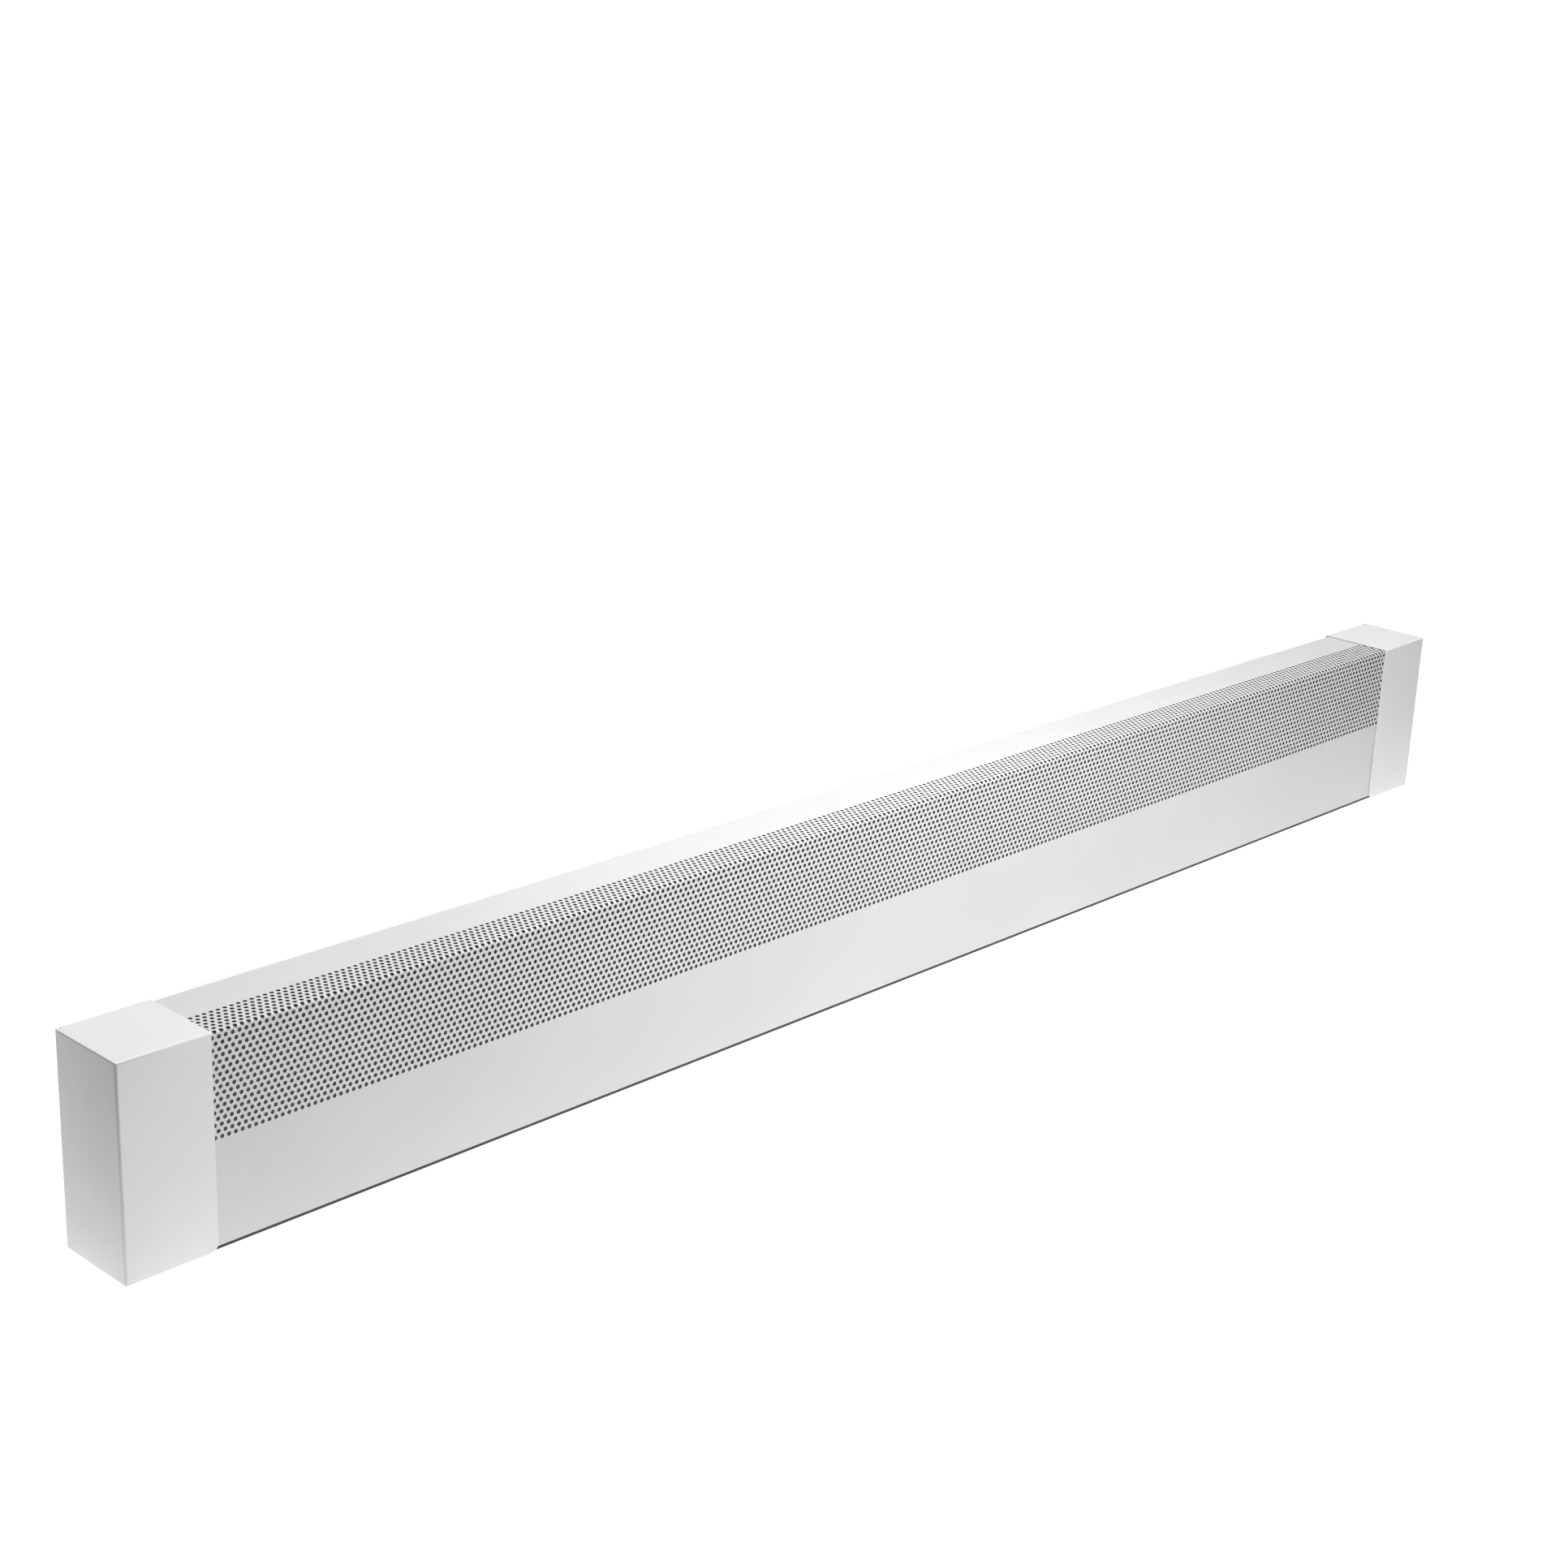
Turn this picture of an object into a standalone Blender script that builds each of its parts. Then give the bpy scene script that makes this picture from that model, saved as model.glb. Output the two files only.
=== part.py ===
"""Slip-on cover for a baseboard heater: one perforated sheet-steel panel and two closed end caps.

Frame: X along the wall, -Y is the room side, +Z up. The origin is on the floor, midway between the
two end caps and midway between the caps' room side and their wall side. Lengths are in metres.

The panel is one bent sheet: a hemmed front, a rounded front bend, a flat top and a lip that hooks
over the heater's back plate. Each cap is a folded box that is open below, behind and towards the
panel, and it telescopes over the panel's end. The air holes are left out of this solid model.
"""

import math

import bmesh
import bpy
from mathutils import Vector

# Driving dimensions
PANEL_LENGTH = 1.8288        # 72 inches, the nominal 6 foot cover
PANEL_HEIGHT = 0.1985
PANEL_DEPTH = 0.0865         # room side of the front to the wall side of the lip
SHEET = 0.0012               # 18 gauge steel with its powder coat
FRONT_BEND = 0.0026          # outer radius where the front turns into the top
LIP_BEND = 0.0024            # outer radius where the top turns down into the lip
LIP_DROP = 0.019             # height of the lip below the top
HEM_RISE = 0.010             # height of the leaf folded back inside the front
HEM_GAP = 0.0003             # slit inside the closed hem
CAP_WIDTH = 0.090            # length of a cap along the wall
CAP_OVERLAP = 0.030          # how far a cap sits over the panel at rest
CAP_CLEARANCE = 0.0005       # running clearance between a cap and the panel
CAP_BEND = 0.0026            # outer radius of a cap's folded edges
CAP_FLANGE = 0.012           # width of the cap's flange that lies on the wall
CAP_CORNER = 0.008           # radius at the foot of the cap's free front edge
RELIEF_WIDTH = 0.0022        # slot beside the rear top corner of a cap
RELIEF_DEPTH = 0.0040        # how far that slot runs forward from the wall side
RELIEF_BELOW = 0.0020        # how far it runs below the foot of the cap's rear lip
SEAM_WIDTH = 0.0004          # line where the cap's top sheet rests on its end wall
SEAM_DEPTH = 0.0005          # how far that line sinks into the end wall's outer face
ARC_STEPS = 8                # flats in a quarter turn

# Sizes that follow from them
CAP_DEPTH = PANEL_DEPTH + 2 * (CAP_CLEARANCE + SHEET)
CAP_HEIGHT = PANEL_HEIGHT + CAP_CLEARANCE + SHEET
PANEL_FRONT = -PANEL_DEPTH / 2
PANEL_END = PANEL_LENGTH / 2
HEM_RADIUS = SHEET + HEM_GAP / 2
CAP_OUTER_END = PANEL_END - CAP_OVERLAP + CAP_WIDTH
BEYOND = 0.020               # how far a cutter runs past what it cuts

PANEL_WHITE = (0.80, 0.80, 0.785, 1.0)
CAP_WHITE = (0.87, 0.87, 0.86, 1.0)


def clear_scene():
    for item in list(bpy.data.objects):
        bpy.data.objects.remove(item, do_unlink=True)


def new_collection(name):
    collection = bpy.data.collections.new(name)
    bpy.context.scene.collection.children.link(collection)
    return collection


def powder_coat(name, colour):
    """Satin powder coat on steel."""
    material = bpy.data.materials.new(name)
    material.use_nodes = True
    shader = material.node_tree.nodes["Principled BSDF"]
    shader.inputs["Base Color"].default_value = colour
    shader.inputs["Roughness"].default_value = 0.45
    shader.inputs["Metallic"].default_value = 0.0
    material.diffuse_color = colour
    return material


def mesh_object(name, shape, collection, material=None):
    """Turn a bmesh into an object in the given collection."""
    mesh = bpy.data.meshes.new(name)
    shape.to_mesh(mesh)
    shape.free()
    item = bpy.data.objects.new(name, mesh)
    collection.objects.link(item)
    if material is not None:
        mesh.materials.append(material)
    return item


def arc(centre, radius, start, sweep):
    """Points (y, z) on an arc, from its start angle through its sweep, both in degrees."""
    steps = max(2, round(ARC_STEPS * abs(sweep) / 90))
    angles = [math.radians(start + sweep * step / steps) for step in range(steps + 1)]
    return [(centre[0] + radius * math.cos(a), centre[1] + radius * math.sin(a)) for a in angles]


def panel_profile():
    """The sheet's outer side in the YZ plane, from the hem's inner leaf round to the lip's foot."""
    hem_centre = (PANEL_FRONT + HEM_RADIUS, HEM_RADIUS)
    front_centre = (PANEL_FRONT + FRONT_BEND, PANEL_HEIGHT - FRONT_BEND)
    lip_centre = (-PANEL_FRONT - LIP_BEND, PANEL_HEIGHT - LIP_BEND)
    leaf_top = (PANEL_FRONT + 2 * HEM_RADIUS, HEM_RADIUS + HEM_RISE)
    lip_foot = (-PANEL_FRONT, PANEL_HEIGHT - LIP_DROP)
    return ([leaf_top]
            + arc(hem_centre, HEM_RADIUS, 0, -180)
            + arc(front_centre, FRONT_BEND, 180, -90)
            + arc(lip_centre, LIP_BEND, 90, -90)
            + [lip_foot])


def build_panel(collection, material):
    """The profile pulled along X and given the sheet's thickness."""
    shape = bmesh.new()
    corners = [shape.verts.new((-PANEL_END, y, z)) for y, z in panel_profile()]
    edges = [shape.edges.new(pair) for pair in zip(corners, corners[1:])]
    pulled = bmesh.ops.extrude_edge_only(shape, edges=edges)["geom"]
    moved = [part for part in pulled if isinstance(part, bmesh.types.BMVert)]
    bmesh.ops.translate(shape, verts=moved, vec=(PANEL_LENGTH, 0, 0))
    bmesh.ops.recalc_face_normals(shape, faces=shape.faces)
    front = max(shape.faces, key=lambda face: face.calc_area())
    if front.normal.y > 0:
        bmesh.ops.reverse_faces(shape, faces=shape.faces)
    panel = mesh_object("cover_panel", shape, collection, material)
    thickness = panel.modifiers.new("sheet thickness", "SOLIDIFY")
    thickness.thickness = SHEET
    thickness.offset = -1
    thickness.use_even_offset = True
    return panel


def box(name, low, high, collection):
    """A plain box between two corners."""
    low, high = Vector(low), Vector(high)
    shape = bmesh.new()
    bmesh.ops.create_cube(shape, size=1.0)
    bmesh.ops.scale(shape, vec=high - low, verts=shape.verts)
    bmesh.ops.translate(shape, vec=(low + high) / 2, verts=shape.verts)
    return mesh_object(name, shape, collection)


def cap_side_view(name, side, collection):
    """What a cap keeps, seen from the room: its floor line, free edge and round lower corner."""
    free_edge = -CAP_WIDTH
    centre = (free_edge + CAP_CORNER, CAP_CORNER)
    corner = arc(centre, CAP_CORNER, 270, -90)
    outline = [(BEYOND, 0)] + corner + [(free_edge, CAP_HEIGHT + BEYOND), (BEYOND, CAP_HEIGHT + BEYOND)]
    shape = bmesh.new()
    front = shape.faces.new([shape.verts.new((side * x, -CAP_DEPTH, z)) for x, z in outline])
    pulled = bmesh.ops.extrude_face_region(shape, geom=[front])["geom"]
    moved = [part for part in pulled if isinstance(part, bmesh.types.BMVert)]
    bmesh.ops.translate(shape, verts=moved, vec=(0, 2 * CAP_DEPTH, 0))
    bmesh.ops.recalc_face_normals(shape, faces=shape.faces)
    return mesh_object(name, shape, collection)


def cut(item, tool, operation):
    """Apply one cutter as a Boolean and put the cutter away."""
    step = item.modifiers.new(operation.lower() + " " + tool.name, "BOOLEAN")
    step.operation = operation
    step.solver = "EXACT"
    step.object = tool
    tool.parent = item
    tool.hide_render = True
    tool.display_type = "WIRE"


def along(side, near, far):
    """Low and high x of a stretch that lies near..far inside the end wall's outer face."""
    return sorted((-side * near, -side * far))


def fold_edges(item, side):
    """Mark every edge for folding except the seam between the top and the end wall."""
    mesh = item.data
    weights = mesh.attributes.new("bevel_weight_edge", "FLOAT", "EDGE")
    for edge in mesh.edges:
        ends = [mesh.vertices[index].co for index in edge.vertices]
        on_top = all(math.isclose(end.z, CAP_HEIGHT, abs_tol=1e-6) for end in ends)
        on_end_wall = all(abs(end.x) < 1e-6 for end in ends)
        weights.data[edge.index].value = 0.0 if on_top and on_end_wall else 1.0


def build_cap(name, side, collection, cutters, material):
    """One end cap. side is -1 at the panel's left end and +1 at its right end.

    The cap's own origin is at the foot of its end wall, and its free edge is at x = -side * width.
    """
    half = CAP_DEPTH / 2
    inner, outer = along(side, 0.0, CAP_WIDTH + BEYOND)
    cap = box(name, (inner, -half, -BEYOND), (outer, half, CAP_HEIGHT), collection)
    cap.data.materials.append(material)

    fold_edges(cap, side)
    folds = cap.modifiers.new("folded edges", "BEVEL")
    folds.limit_method = "WEIGHT"
    folds.width = CAP_BEND
    folds.segments = ARC_STEPS
    thickness = cap.modifiers.new("sheet thickness", "SOLIDIFY")
    thickness.thickness = SHEET
    thickness.offset = -1
    thickness.use_even_offset = True

    # The sheet outside this outline goes: the floor, and the side that faces the panel.
    cut(cap, cap_side_view(name + "_keep", side, cutters), "INTERSECT")

    # The wall side is open below the rear lip and between the flange and the free edge.
    lip_foot = CAP_HEIGHT - LIP_DROP
    inner, outer = along(side, CAP_FLANGE, CAP_WIDTH + BEYOND)
    window = box(name + "_wall_window",
                 (inner, half - 2 * CAP_BEND, -BEYOND),
                 (outer, half + BEYOND, lip_foot), cutters)
    cut(cap, window, "DIFFERENCE")

    inner, outer = along(side, CAP_BEND, CAP_BEND + RELIEF_WIDTH)
    slot = box(name + "_relief_slot",
               (inner, half - RELIEF_DEPTH, lip_foot - RELIEF_BELOW),
               (outer, half + BEYOND, CAP_HEIGHT + BEYOND), cutters)
    cut(cap, slot, "DIFFERENCE")

    inner, outer = along(side, -BEYOND, SEAM_DEPTH)
    seam_top = CAP_HEIGHT - SHEET
    seam = box(name + "_seam",
               (inner, -half + CAP_BEND, seam_top - SEAM_WIDTH),
               (outer, half - CAP_BEND, seam_top), cutters)
    cut(cap, seam, "DIFFERENCE")

    cap.location = (side * CAP_OUTER_END, 0, 0)
    return cap


def main():
    clear_scene()
    parts = new_collection("baseboard_heater_cover")
    cutters = new_collection("cutters")
    panel_coat = powder_coat("panel_powder_coat", PANEL_WHITE)
    cap_coat = powder_coat("cap_powder_coat", CAP_WHITE)
    build_panel(parts, panel_coat)
    build_cap("left_end_cap", -1, parts, cutters, cap_coat)
    build_cap("right_end_cap", 1, parts, cutters, cap_coat)


main()
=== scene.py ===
"""The look of a slip-on baseboard heater cover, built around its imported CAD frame.

Metres, X along the wall, -Y the room side, +Z up, as in the frame. The perforated panel is one bent
sheet: its outer side is laid out strip by strip and hole by hole, and Solidify gives it the sheet's
thickness. The end caps are the CAD's folded shapes with their cut edges rounded off.
"""

import math

import bmesh
import bpy
from mathutils import Euler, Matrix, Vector


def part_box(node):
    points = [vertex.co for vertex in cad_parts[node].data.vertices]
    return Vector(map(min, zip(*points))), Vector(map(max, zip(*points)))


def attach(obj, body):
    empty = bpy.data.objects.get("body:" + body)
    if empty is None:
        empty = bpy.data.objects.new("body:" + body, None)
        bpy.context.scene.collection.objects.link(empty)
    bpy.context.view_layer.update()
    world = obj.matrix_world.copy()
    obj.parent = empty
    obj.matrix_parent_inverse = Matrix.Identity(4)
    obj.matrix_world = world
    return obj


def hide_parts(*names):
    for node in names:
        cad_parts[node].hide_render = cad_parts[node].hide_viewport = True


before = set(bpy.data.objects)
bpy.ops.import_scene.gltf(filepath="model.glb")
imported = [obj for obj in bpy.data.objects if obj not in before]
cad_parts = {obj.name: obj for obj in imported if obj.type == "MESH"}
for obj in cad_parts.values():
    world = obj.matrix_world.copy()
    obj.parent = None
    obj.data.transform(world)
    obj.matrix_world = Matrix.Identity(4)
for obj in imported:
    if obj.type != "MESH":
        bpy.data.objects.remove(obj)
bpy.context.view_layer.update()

PANEL_LOW, PANEL_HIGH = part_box("cover_panel")

# The sheet, as the CAD bends it
SHEET = 0.0012
FRONT_BEND = 0.0026
LIP_BEND = 0.0024
LIP_DROP = 0.019
HEM_RISE = 0.010
HEM_GAP = 0.0003
HEM_RADIUS = SHEET + HEM_GAP / 2
BEND_STEPS = 8               # flats in a quarter turn
SHADED_FOOT_HEIGHT = 0.0034       # the foot of the hem, painted dark as shade along its underside

# The air holes
HOLE_RADIUS = 0.0020
HOLE_SIDES = 12
PITCH = 0.00674              # between the holes of a row
ROW_SPACING = 0.005645
LONG_ROW = 267               # holes in every other row, with one fewer in the rows between
FRONT_ROWS = 17
FIRST_FRONT_ROW = 0.0049     # its centre line, below the top
TOP_ROWS = 6
FIRST_TOP_ROW = 0.0072       # its centre line, behind the front
BENT_ROW = 0.0028            # centre line of the row on the front bend, round from the bend's foot
BENT_HOLE_STEPS = 8          # strips across a hole of that row
UPPER_ROWS = 3               # front rows in the upper of the panel's three meshes
MIDDLE_ROWS = 7              # front rows in the middle one

# Vertices stand in columns half a pitch apart, numbered from the middle of the sheet. The outermost
# column at each side is the sheet's own end.
END_COLUMN = LONG_ROW + 1
COARSE_STEP = 6              # away from the holes, only every sixth column is kept

CUT_EDGE_RADIUS = 0.00015    # the coat rounds the cut edges of the caps
CUT_EDGE_ANGLE = math.radians(50)
WELD = 1e-6
FLAT_ANGLE = math.radians(1)
SHARP_ANGLE = math.radians(35)

# The material slots of a piece
OUTER = 0
INNER = 1
# cut edges and the hem's foot, near black: steel at the cuts and painted shade
EDGE_AND_SHADE = 2

# Each coat's colour runs between two shades
# The panel's white is darker than the caps' though both are one coat: painted shade.
PANEL_WHITE_SHADED = (0.725, 0.725, 0.718), (0.70, 0.70, 0.69)
CAP_WHITE = (0.87, 0.87, 0.86), (0.85, 0.85, 0.84)
# dark grey for the inner side: painted shade for the shaded inside
INNER_SHADE_GREY = (0.20, 0.20, 0.20), (0.27, 0.27, 0.265)
# near black for the cut edges and the hem's foot: steel at the cuts, and painted shade for the holes and
# the foot
CUT_STEEL_AND_SHADE = (0.022, 0.022, 0.023), (0.050, 0.049, 0.048)
NOISE_RANGE = (0.3, 0.7)     # where nearly all of a noise's values lie

CAMERA_PLACE = Vector((-2.00093, -1.72947, 1.11725))
CAMERA_TURN = (70.8417, -2.1971, -45.8525)
CAMERA_LENS = 60.976
CAMERA_SENSOR = 36.0


# ---------------------------------------------------------------- materials

def new_material(name):
    """A material with its node tree, its shader, and a place in the part's own metres."""
    material = bpy.data.materials.new(name)
    material.use_nodes = True
    tree = material.node_tree
    place = tree.nodes.new("ShaderNodeTexCoord").outputs["Object"]
    return material, tree, tree.nodes["Principled BSDF"], place


def noise(tree, place, scale, detail=2.0):
    """Noise whose features are about 1 / scale metres across."""
    node = tree.nodes.new("ShaderNodeTexNoise")
    node.inputs["Scale"].default_value = scale
    node.inputs["Detail"].default_value = detail
    tree.links.new(place, node.inputs["Vector"])
    return node.outputs["Fac"]


def spread(tree, value, low=0.0, high=1.0):
    """Map a noise to a range."""
    node = tree.nodes.new("ShaderNodeMapRange")
    node.inputs["From Min"].default_value, node.inputs["From Max"].default_value = NOISE_RANGE
    node.inputs["To Min"].default_value = low
    node.inputs["To Max"].default_value = high
    tree.links.new(value, node.inputs["Value"])
    return node.outputs["Result"]


def mix_colours(tree, share, first, second):
    node = tree.nodes.new("ShaderNodeMix")
    node.data_type = "RGBA"
    node.inputs["A"].default_value = (*first, 1.0)
    node.inputs["B"].default_value = (*second, 1.0)
    tree.links.new(share, node.inputs["Factor"])
    return node.outputs["Result"]


def bump(tree, height, distance, under=None):
    """A bump of the given height in metres, over another bump if one is given."""
    node = tree.nodes.new("ShaderNodeBump")
    node.inputs["Distance"].default_value = distance
    tree.links.new(height, node.inputs["Height"])
    if under is not None:
        tree.links.new(under, node.inputs["Normal"])
    return node.outputs["Normal"]


def powder_coat(name, shades):
    """Satin powder coat: fine orange peel over a sheet that is never quite flat."""
    material, tree, shader, place = new_material(name)
    clouds = spread(tree, noise(tree, place, scale=9.0, detail=4.0))
    tree.links.new(mix_colours(tree, clouds, *shades), shader.inputs["Base Color"])
    gloss = spread(tree, noise(tree, place, scale=60.0, detail=3.0), low=0.38, high=0.47)
    tree.links.new(gloss, shader.inputs["Roughness"])
    waves = bump(tree, noise(tree, place, scale=3.2, detail=1.0), distance=0.0016)
    peel = bump(tree, noise(tree, place, scale=750.0, detail=1.5), distance=0.00003, under=waves)
    tree.links.new(peel, shader.inputs["Normal"])
    shader.inputs["Specular IOR Level"].default_value = 0.45
    return material


def inner_coat_painted_shade(name):
    """The inner side in dark grey, painted shade for the shaded inside of the cover, with the zinc's
    spangle faintly in it.
    """
    material, tree, shader, place = new_material(name)
    spangle = tree.nodes.new("ShaderNodeTexVoronoi")
    spangle.inputs["Scale"].default_value = 190.0
    tree.links.new(place, spangle.inputs["Vector"])
    grey = mix_colours(tree, spangle.outputs["Distance"], *INNER_SHADE_GREY)
    tree.links.new(grey, shader.inputs["Base Color"])
    gloss = spread(tree, noise(tree, place, scale=130.0, detail=3.0), low=0.50, high=0.64)
    tree.links.new(gloss, shader.inputs["Roughness"])
    grain = bump(tree, noise(tree, place, scale=900.0), distance=0.00003)
    tree.links.new(grain, shader.inputs["Normal"])
    return material


def cut_edge_and_shade(name):
    """Punched and sheared edges and the hem's foot, near black: steel showing where the coat is thin, and
    painted shade that darkens the air holes and the foot.
    """
    material, tree, shader, place = new_material(name)
    patches = spread(tree, noise(tree, place, scale=420.0, detail=3.0))
    steel = mix_colours(tree, patches, *CUT_STEEL_AND_SHADE)
    tree.links.new(steel, shader.inputs["Base Color"])
    gloss = spread(tree, noise(tree, place, scale=900.0), low=0.45, high=0.65)
    tree.links.new(gloss, shader.inputs["Roughness"])
    burr = bump(tree, noise(tree, place, scale=1400.0), distance=0.00004)
    tree.links.new(burr, shader.inputs["Normal"])
    return material


# ---------------------------------------------------------------- meshes

def finish_mesh(name, item, materials):
    """The item's evaluated mesh as a new piece, smooth round its bends and flat between them."""
    for material in materials:
        item.data.materials.append(material)
    bpy.context.view_layer.update()
    evaluated = item.evaluated_get(bpy.context.evaluated_depsgraph_get())
    mesh = bpy.data.meshes.new_from_object(evaluated)
    bpy.data.objects.remove(item)
    mesh.name = name
    mesh.shade_smooth()
    mesh.set_sharp_from_angle(angle=SHARP_ANGLE)
    piece = bpy.data.objects.new(name, mesh)
    bpy.context.scene.collection.objects.link(piece)
    normals = piece.modifiers.new("flat sheet, round bends", "WEIGHTED_NORMAL")
    normals.keep_sharp = True
    return piece


def new_object(name, shape):
    """A bmesh as an object in the scene."""
    mesh = bpy.data.meshes.new(name)
    shape.to_mesh(mesh)
    shape.free()
    item = bpy.data.objects.new(name, mesh)
    bpy.context.scene.collection.objects.link(item)
    return item


def arc(centre, radius, start, sweep):
    """Points (y, z) on an arc, from its start angle through its sweep, both in degrees."""
    steps = round(BEND_STEPS * abs(sweep) / 90)
    angles = [math.radians(start + sweep * step / steps) for step in range(steps + 1)]
    return [(centre[0] + radius * math.cos(a), centre[1] + radius * math.sin(a)) for a in angles]


def below_top(distance):
    """The point (y, z) on the front that far below the top."""
    return PANEL_LOW.y, PANEL_HIGH.z - distance


def behind_front(distance):
    """The point (y, z) on the top that far behind the front."""
    return PANEL_LOW.y + distance, PANEL_HIGH.z


def round_bend(distance):
    """The point (y, z) that far round the sheet's outer side from the foot of the front bend."""
    bend_length = FRONT_BEND * math.pi / 2
    if distance > bend_length:
        return behind_front(FRONT_BEND + distance - bend_length)
    angle = distance / FRONT_BEND
    return (PANEL_LOW.y + FRONT_BEND * (1 - math.cos(angle)),
            PANEL_HIGH.z - FRONT_BEND * (1 - math.sin(angle)))


class Sheet:
    """The outer side of the sheet, laid out in strips that follow one another along its section.

    Every line of vertices runs along X at one point (y, z). A dense line has a vertex in each
    column, and a coarse line in every few. Two lines are joined between the columns that both have.
    """

    def __init__(self, start, dense):
        self.shape = bmesh.new()
        self.line = self.new_line(start, dense)

    def new_line(self, point, dense):
        columns = range(-END_COLUMN, END_COLUMN + 1)
        ends = {-END_COLUMN: PANEL_LOW.x, END_COLUMN: PANEL_HIGH.x}
        kept = [c for c in columns if dense or abs(c) >= LONG_ROW or c % COARSE_STEP == 0]
        return {c: self.shape.verts.new((ends.get(c, c * PITCH / 2), *point)) for c in kept}

    def join(self, before, after, first, last, slot=OUTER):
        """Faces between two lines, from the first column to the last."""
        shared = [c for c in before if c in after and first <= c <= last]
        for left, right in zip(shared, shared[1:]):
            near = [before[c] for c in range(left, right + 1) if c in before]
            far = [after[c] for c in range(right, left - 1, -1) if c in after]
            self.shape.faces.new(near + far).material_index = slot

    def plain_to(self, point, dense=False, slot=OUTER):
        """A strip without holes, from the last line to a new one."""
        before, self.line = self.line, self.new_line(point, dense)
        self.join(before, self.line, -END_COLUMN, END_COLUMN, slot)

    def holes_to(self, middle, point, holes):
        """A strip with a row of holes, whose centres lie on the line at middle."""
        before, self.line = self.line, self.new_line(point, dense=True)
        self.join(before, self.line, -END_COLUMN, -holes)
        self.join(before, self.line, holes, END_COLUMN)
        for column in range(1 - holes, holes, 2):
            self.hole(before, Vector(middle), column)

    def hole(self, before, middle, column):
        """One hole and the metal round it: six faces, each with two outer and three inner corners."""
        onward = Vector((self.line[0].co - before[0].co).yz).normalized()
        rim = []
        for side in range(HOLE_SIDES):
            angle = math.tau * side / HOLE_SIDES
            y, z = middle + HOLE_RADIUS * math.sin(angle) * onward
            x = column * PITCH / 2 + HOLE_RADIUS * math.cos(angle)
            rim.append(self.shape.verts.new((x, y, z)))
        corners = [self.line[column + 1], self.line[column], self.line[column - 1],
                   before[column - 1], before[column], before[column + 1]]
        for index, corner in enumerate(corners):
            start = 2 * index - 1
            inner = [rim[(start + step) % HOLE_SIDES] for step in (2, 1, 0)]
            self.shape.faces.new([corners[index - 1], corner] + inner)

    def bent_holes(self, holes):
        """The row of holes on the front bend, in narrow strips that follow its curve."""
        centres = range(1 - holes, holes, 2)
        self.plain_to(round_bend(BENT_ROW - HOLE_RADIUS), dense=True)
        rims = {c: (self.line[c], self.line[c]) for c in centres}
        for step in range(1, BENT_HOLE_STEPS + 1):
            angle = math.pi * (step / BENT_HOLE_STEPS - 0.5)
            before, before_rims, rims = self.line, rims, {}
            self.line = self.new_line(round_bend(BENT_ROW + HOLE_RADIUS * math.sin(angle)), dense=True)
            for c in centres:
                left = right = self.line[c]
                if step < BENT_HOLE_STEPS:
                    right = self.shape.verts.new(left.co)
                    left.co.x -= HOLE_RADIUS * math.cos(angle)
                    right.co.x += HOLE_RADIUS * math.cos(angle)
                    del self.line[c]
                rims[c] = left, right
                self.shape.faces.new([before[c - 1], before_rims[c][0], left, self.line[c - 1]])
            for c in centres:
                self.shape.faces.new([before_rims[c][1], before[c + 1], self.line[c + 1], rims[c][1]])
            self.join(before, self.line, -END_COLUMN, -holes)
            self.join(before, self.line, holes, END_COLUMN)


def holes_in_row(row):
    return LONG_ROW - row % 2


def front_rows_up(sheet, rows):
    """Rows of holes up the front. Row 0 is the one at the front bend."""
    for row in reversed(rows):
        middle = FIRST_FRONT_ROW + row * ROW_SPACING
        upper = max(middle - ROW_SPACING / 2, FRONT_BEND)
        sheet.holes_to(below_top(middle), below_top(upper), holes_in_row(row))


def above_row(row):
    """The point (y, z) halfway from that front row to the one above it."""
    return below_top(FIRST_FRONT_ROW + (row - 0.5) * ROW_SPACING)


def lower_panel():
    """The closed hem, the plain front and the lowest rows of holes."""
    hem_centre = (PANEL_LOW.y + HEM_RADIUS, HEM_RADIUS)
    hem = arc(hem_centre, HEM_RADIUS, 0, -180)
    sheet = Sheet((hem[0][0], HEM_RADIUS + HEM_RISE), dense=False)
    sheet.plain_to(hem[0])
    # The hem's lower turn and the front's foot take the near-black edge colour: painted shade along the
    # foot.
    for point in hem[1:] + [(PANEL_LOW.y, SHADED_FOOT_HEIGHT)]:
        sheet.plain_to(point, slot=EDGE_AND_SHADE)
    sheet.plain_to(above_row(FRONT_ROWS), dense=True)
    front_rows_up(sheet, range(UPPER_ROWS + MIDDLE_ROWS, FRONT_ROWS))
    return sheet.shape


def middle_panel():
    """The middle rows of the front's holes."""
    sheet = Sheet(above_row(UPPER_ROWS + MIDDLE_ROWS), dense=True)
    front_rows_up(sheet, range(UPPER_ROWS, UPPER_ROWS + MIDDLE_ROWS))
    return sheet.shape


def upper_panel():
    """The front's highest holes, the bend and the top with theirs, and the rear lip."""
    sheet = Sheet(above_row(UPPER_ROWS), dense=True)
    front_rows_up(sheet, range(UPPER_ROWS))
    sheet.bent_holes(holes_in_row(1))
    sheet.plain_to(behind_front(FIRST_TOP_ROW - ROW_SPACING / 2), dense=True)
    for row in range(TOP_ROWS):
        middle = FIRST_TOP_ROW + row * ROW_SPACING
        sheet.holes_to(behind_front(middle), behind_front(middle + ROW_SPACING / 2), holes_in_row(row))
    lip_centre = (PANEL_HIGH.y - LIP_BEND, PANEL_HIGH.z - LIP_BEND)
    for point in arc(lip_centre, LIP_BEND, 90, -90) + [(PANEL_HIGH.y, PANEL_HIGH.z - LIP_DROP)]:
        sheet.plain_to(point)
    return sheet.shape


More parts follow.
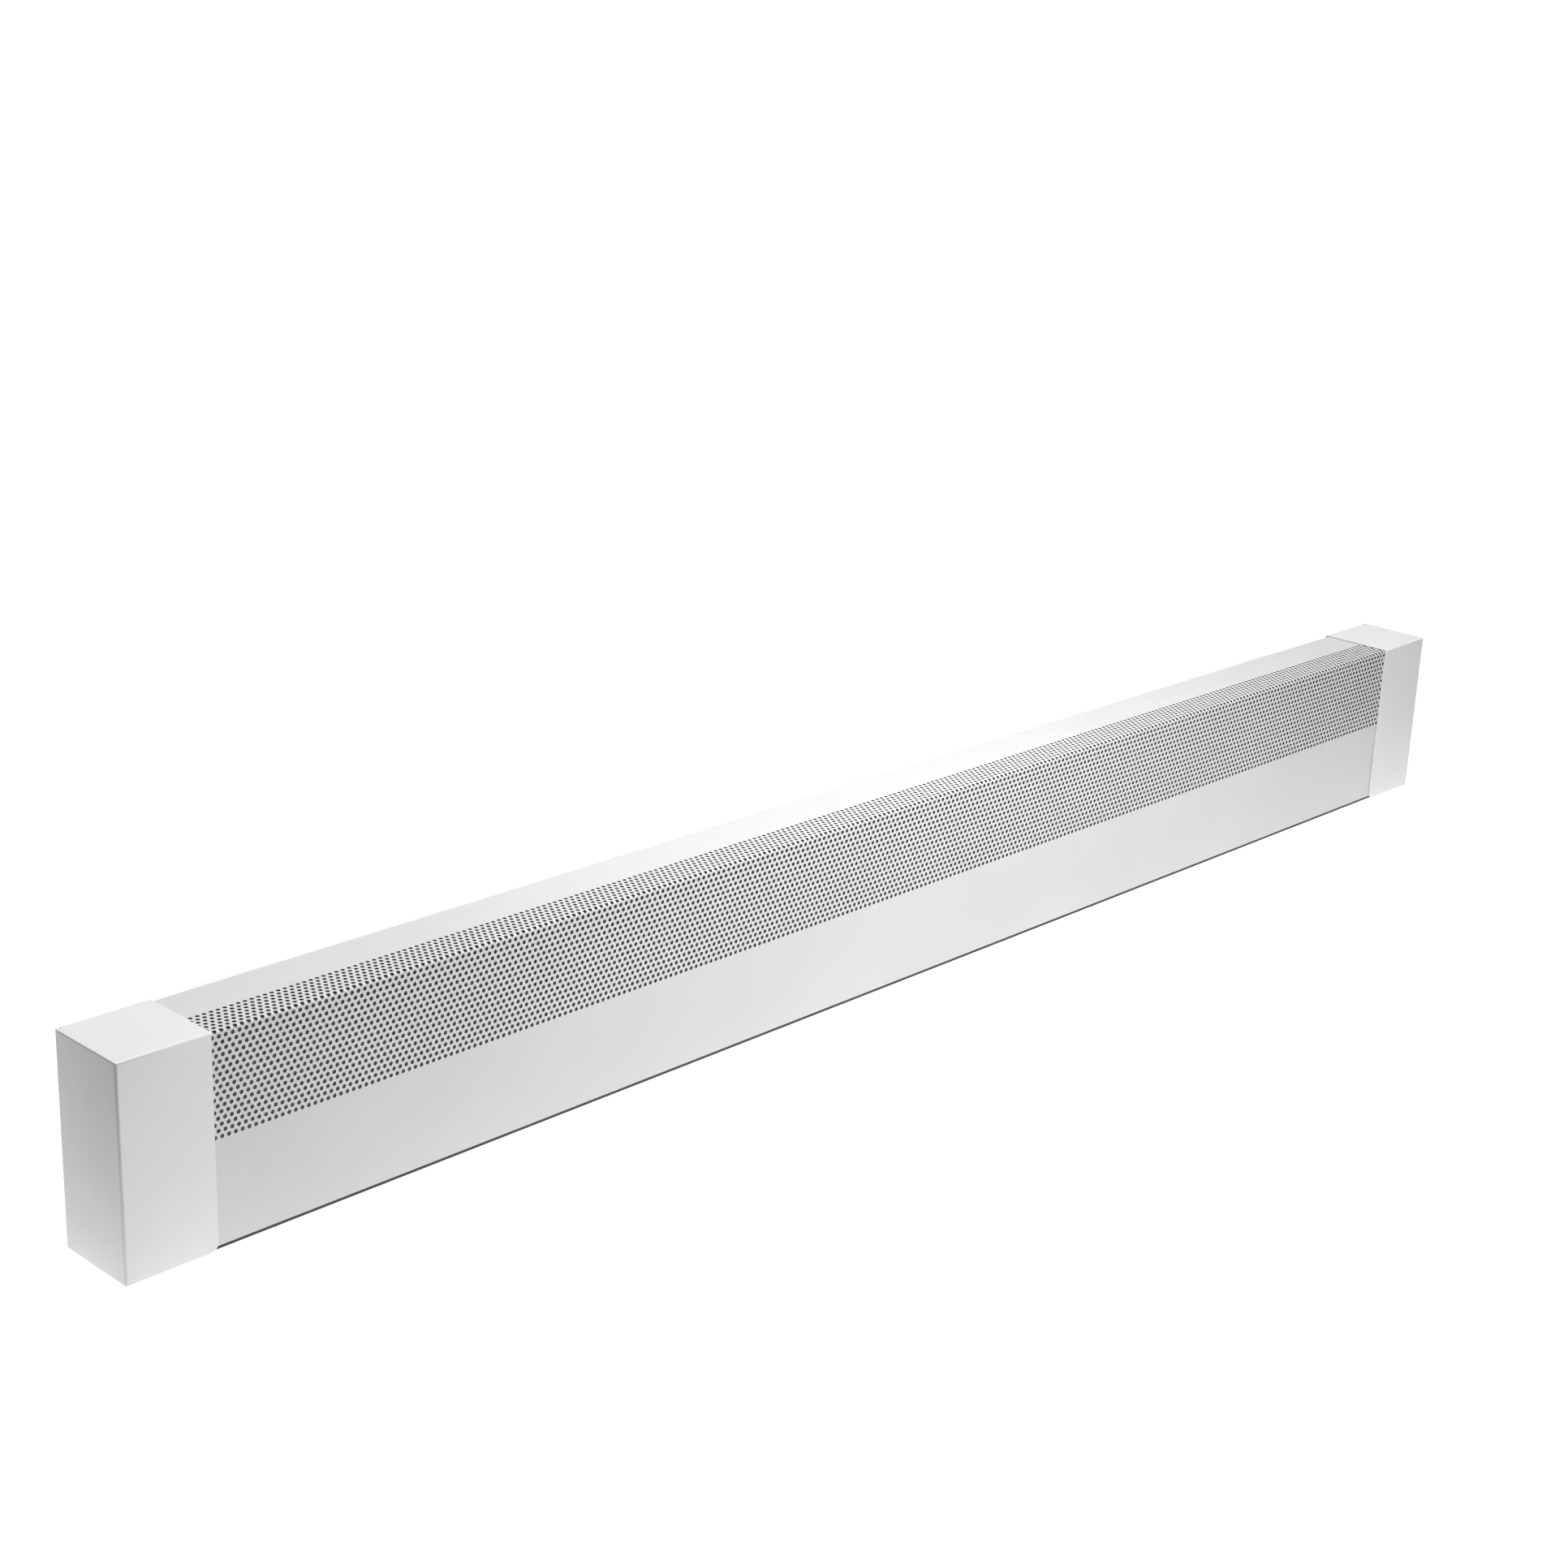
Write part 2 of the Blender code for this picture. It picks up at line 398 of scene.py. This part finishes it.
def panel_piece(name, shape, coats):
    """Give the laid-out side its thickness: outer coat, inner coat and cut edges."""
    item = new_object("raw", shape)
    thickness = item.modifiers.new("sheet thickness", "SOLIDIFY")
    thickness.thickness = SHEET
    thickness.offset = -1
    thickness.use_even_offset = True
    thickness.material_offset = INNER
    # The cut rims, hole walls among them, take the near-black edge colour: painted shade in the air holes.
    thickness.material_offset_rim = EDGE_AND_SHADE
    return finish_mesh(name, item, coats)


def cap_piece(name, node, coats):
    """A cap from its CAD shape: whole faces, inner coat inside, and cut edges rounded by the coat."""
    shape = bmesh.new()
    shape.from_mesh(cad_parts[node].data)
    bmesh.ops.remove_doubles(shape, verts=shape.verts, dist=WELD)
    bmesh.ops.dissolve_limit(shape, angle_limit=FLAT_ANGLE, verts=shape.verts, edges=shape.edges)
    low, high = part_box(node)
    middle = (low + high) / 2
    for face in shape.faces:
        outward = face.calc_center_median() - middle
        face.material_index = INNER if face.normal.dot(outward) < 0 else OUTER
    item = new_object("raw", shape)
    edges = item.modifiers.new("rounded cut edges", "BEVEL")
    edges.width = CUT_EDGE_RADIUS
    edges.segments = 2
    edges.limit_method = "ANGLE"
    edges.angle_limit = CUT_EDGE_ANGLE
    return finish_mesh(name, item, coats)


def place_piece(piece, body, node):
    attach(piece, body)
    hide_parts(node)


# ---------------------------------------------------------------- stage

FLOOR_REACH = 40.0
FLOOR_CELLS = 8
FLOOR_WHITE = (0.90, 0.90, 0.90), (0.885, 0.885, 0.885)
MATT = 0.9                                    # roughness of the floor and of the dark cards

# The floor's key light, and the flag that keeps it out of the air holes
KEY_FROM = (-1.70, -1.76, 1.0)                # direction to the light
KEY_STRENGTH = 9.6
KEY_SPREAD = math.radians(5)
FLAG_GAP = 0.004                              # between the flag and the sheet's outer side
FLAG_FOOT = 0.06                              # the flag starts this high, below the lowest holes
FLAG_REACH = 0.23                             # how far its upper edge runs past the panel's right end

# The dark cards beyond the ends
CARD_X = 1.18                                 # their distance from the middle
CARD_DEPTH = (-1.50, 0.10)                    # their front and rear edges
CARD_TOP = 0.40
CARD_GREY = (0.04, 0.04, 0.04, 1.0)

# The lights that fall on the cover
CEILING_STRENGTH = 2.5
CEILING_SPREAD = math.radians(45)
REAR_FROM = (0.3, 2.0, -0.6)                  # direction to the light that comes from behind
REAR_STRENGTH = 1.6
REAR_SPREAD = math.radians(50)
SOFTBOX_PLACE = (0.05, -0.58, 0.98)
SOFTBOX_AIM = (0.05, 0.0, 0.15)
SOFTBOX_POWER = 8.8
SOFTBOX_SIZE = (0.5, 0.3)

# The studio's walls and ceiling
HORIZON_FADE = 0.6                            # the bright band starts to fade at this share of its height
HORIZON_TOP = math.sin(math.radians(16))      # the band ends this high
HORIZON_STRENGTH = 0.38
CEILING_GLOW = 0.04

MIDDLE = (0.0, 0.0, 0.0)
ABOVE = (0.0, 0.0, 3.0)


def build_floor():
    """A wide, pale, matt floor."""
    shape = bmesh.new()
    bmesh.ops.create_grid(shape, x_segments=FLOOR_CELLS, y_segments=FLOOR_CELLS, size=FLOOR_REACH)
    floor = new_object("floor", shape)

    material, tree, shader, place = new_material("pale_floor")
    clouds = spread(tree, noise(tree, place, scale=2.0))
    tree.links.new(mix_colours(tree, clouds, *FLOOR_WHITE), shader.inputs["Base Color"])
    shader.inputs["Roughness"].default_value = MATT
    shader.inputs["Specular IOR Level"].default_value = 0.0
    floor.data.materials.append(material)
    return floor


def studio_sheet(name, outlines):
    """A thin sheet of studio gear that the camera doesn't see, from the outlines of its faces."""
    shape = bmesh.new()
    for outline in outlines:
        shape.faces.new([shape.verts.new(corner) for corner in outline])
    sheet = new_object(name, shape)
    sheet.visible_camera = False
    return sheet


def build_flag():
    """A flag that only casts shadows, just inside the cover's front and top.

    It keeps the floor's key light from shining through the air holes onto the floor behind. It runs on
    past the right end, to shade the floor that the camera sees through the last holes there.
    """
    front = PANEL_LOW.y + FLAG_GAP
    top = PANEL_HIGH.z - FLAG_GAP
    rear = PANEL_HIGH.y - FLAG_GAP
    left = PANEL_LOW.x
    right = PANEL_HIGH.x + FLAG_REACH
    foot = [(left, front, FLAG_FOOT), (PANEL_HIGH.x, front, FLAG_FOOT)]
    upright = foot + [(right, front, top), (left, front, top)]
    level = [(left, front, top), (right, front, top), (right, rear, top), (left, rear, top)]
    flag = studio_sheet("key_flag", [upright, level])
    flag.visible_diffuse = False
    flag.visible_glossy = False
    flag.visible_transmission = False
    return flag


def build_cards():
    """A dark card beyond each end, which takes light off the end walls and the ends of the front."""
    material, _, shader, _ = new_material("dark_card")
    shader.inputs["Base Color"].default_value = CARD_GREY
    shader.inputs["Roughness"].default_value = MATT
    front, rear = CARD_DEPTH
    for name, x in (("left_card", -CARD_X), ("right_card", CARD_X)):
        outline = [(x, front, 0), (x, rear, 0), (x, rear, CARD_TOP), (x, front, CARD_TOP)]
        card = studio_sheet(name, [outline])
        card.data.materials.append(material)


def aimed_light(name, kind, place, aim, power, lit, shading):
    """A light that the camera doesn't see, pointing from one place to another.

    It falls only on the objects in one collection, and only those in another cast its shadow.
    """
    light = bpy.data.lights.new(name, kind)
    light.energy = power
    item = bpy.data.objects.new(name, light)
    item.location = place
    item.rotation_euler = (Vector(aim) - Vector(place)).to_track_quat("-Z", "Y").to_euler()
    item.visible_camera = False
    item.light_linking.receiver_collection = lit
    item.light_linking.blocker_collection = shading
    bpy.context.scene.collection.objects.link(item)
    return light


def build_world():
    """A studio whose walls are a bright band round the horizon, under a dim ceiling."""
    world = bpy.data.worlds.new("studio")
    world.use_nodes = True
    tree = world.node_tree
    place = tree.nodes.new("ShaderNodeTexCoord").outputs["Generated"]
    split = tree.nodes.new("ShaderNodeSeparateXYZ")
    tree.links.new(place, split.inputs["Vector"])
    band = tree.nodes.new("ShaderNodeMapRange")
    band.interpolation_type = "SMOOTHSTEP"
    band.inputs["From Min"].default_value = HORIZON_FADE * HORIZON_TOP
    band.inputs["From Max"].default_value = HORIZON_TOP
    band.inputs["To Min"].default_value = HORIZON_STRENGTH
    band.inputs["To Max"].default_value = CEILING_GLOW
    tree.links.new(split.outputs["Z"], band.inputs["Value"])
    tree.links.new(band.outputs["Result"], tree.nodes["Background"].inputs["Strength"])
    tree.nodes["Background"].inputs["Color"].default_value = (1.0, 1.0, 1.0, 1.0)
    bpy.context.scene.world = world


def collection_of(name, items):
    """A collection outside the scene, for choosing what a light falls on."""
    collection = bpy.data.collections.new(name)
    for item in items:
        collection.objects.link(item)
    return collection


def build_lights(floor, pieces):
    """A key light for the floor, and three lights for the cover.

    The floor's comes from the front, so that the shadow falls behind the cover, where the camera sees it
    only through the air holes. The others are a soft ceiling, a fill from low behind and a softbox.
    """
    build_world()
    floor_only = collection_of("floor_only", [floor])
    pieces_only = collection_of("pieces_only", pieces)
    pieces_and_flag = collection_of("pieces_and_flag", pieces + [build_flag()])

    key = aimed_light("floor_key", "SUN", KEY_FROM, MIDDLE, KEY_STRENGTH, floor_only, pieces_and_flag)
    key.angle = KEY_SPREAD

    ceiling = aimed_light("soft_ceiling", "SUN", ABOVE, MIDDLE, CEILING_STRENGTH, pieces_only, pieces_only)
    ceiling.angle = CEILING_SPREAD

    rear = aimed_light("rear_fill", "SUN", REAR_FROM, MIDDLE, REAR_STRENGTH, pieces_only, pieces_only)
    rear.angle = REAR_SPREAD

    softbox = aimed_light("softbox", "AREA", SOFTBOX_PLACE, SOFTBOX_AIM, SOFTBOX_POWER,
                          pieces_only, pieces_only)
    softbox.shape = "RECTANGLE"
    softbox.size, softbox.size_y = SOFTBOX_SIZE


def build_camera():
    camera = bpy.data.cameras.new("camera")
    camera.lens = CAMERA_LENS
    camera.sensor_width = CAMERA_SENSOR
    camera.clip_end = 2 * FLOOR_REACH
    item = bpy.data.objects.new("camera", camera)
    item.location = CAMERA_PLACE
    item.rotation_euler = Euler([math.radians(angle) for angle in CAMERA_TURN])
    bpy.context.scene.collection.objects.link(item)
    bpy.context.scene.camera = item


def main():
    build_camera()
    bpy.context.scene.view_settings.view_transform = "Standard"

    inner_shaded = inner_coat_painted_shade("inner_coat_painted_shade")
    edge_and_shade = cut_edge_and_shade("cut_edge_and_shade")
    panel_coats = [powder_coat("panel_powder_coat", PANEL_WHITE_SHADED), inner_shaded, edge_and_shade]
    cap_coats = [powder_coat("cap_powder_coat", CAP_WHITE), inner_shaded]

    pieces = []
    for part, build in (("lower", lower_panel), ("middle", middle_panel), ("upper", upper_panel)):
        panel = panel_piece("cover_panel_" + part, build(), panel_coats)
        place_piece(panel, "panel", "cover_panel")
        pieces.append(panel)
    for side in ("left", "right"):
        cap = cap_piece(side + "_end_cap_coated", side + "_end_cap", cap_coats)
        place_piece(cap, side + "_cap", side + "_end_cap")
        pieces.append(cap)
    build_cards()
    build_lights(build_floor(), pieces)


main()
